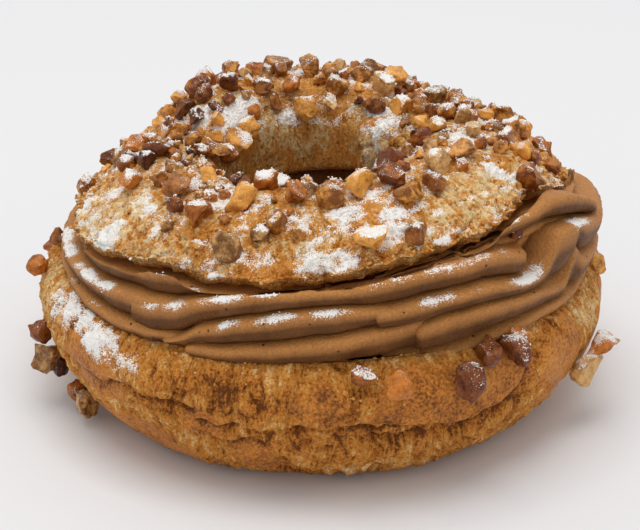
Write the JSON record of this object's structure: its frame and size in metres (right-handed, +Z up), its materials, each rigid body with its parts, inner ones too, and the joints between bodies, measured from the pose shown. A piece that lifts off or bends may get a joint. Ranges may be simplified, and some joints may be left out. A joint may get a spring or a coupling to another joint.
{
  "type": "paris brest pastry",
  "caption": "Ring of choux pastry split level and filled with piped praline cream, with a domed lid set on top at a tilt.",
  "frame": {"origin": "on the floor, under the middle of the ring", "axes": "+Z up through the hole, away from the flat foot; +X towards the side where the cream is deepest and the lid highest"},
  "size_m": [0.0894, 0.0892, 0.0439],
  "materials": {
    "golden_crust": "matte baked choux crust, golden brown",
    "praline_cream": "soft matte praline cream",
    "pale_crust": "matte baked choux crust, paler and crumbly"
  },
  "bodies": {
    "root": {"choux_base": "golden_crust", "praline_cream": "praline_cream", "choux_lid": "pale_crust"}
  },
  "joints": []
}
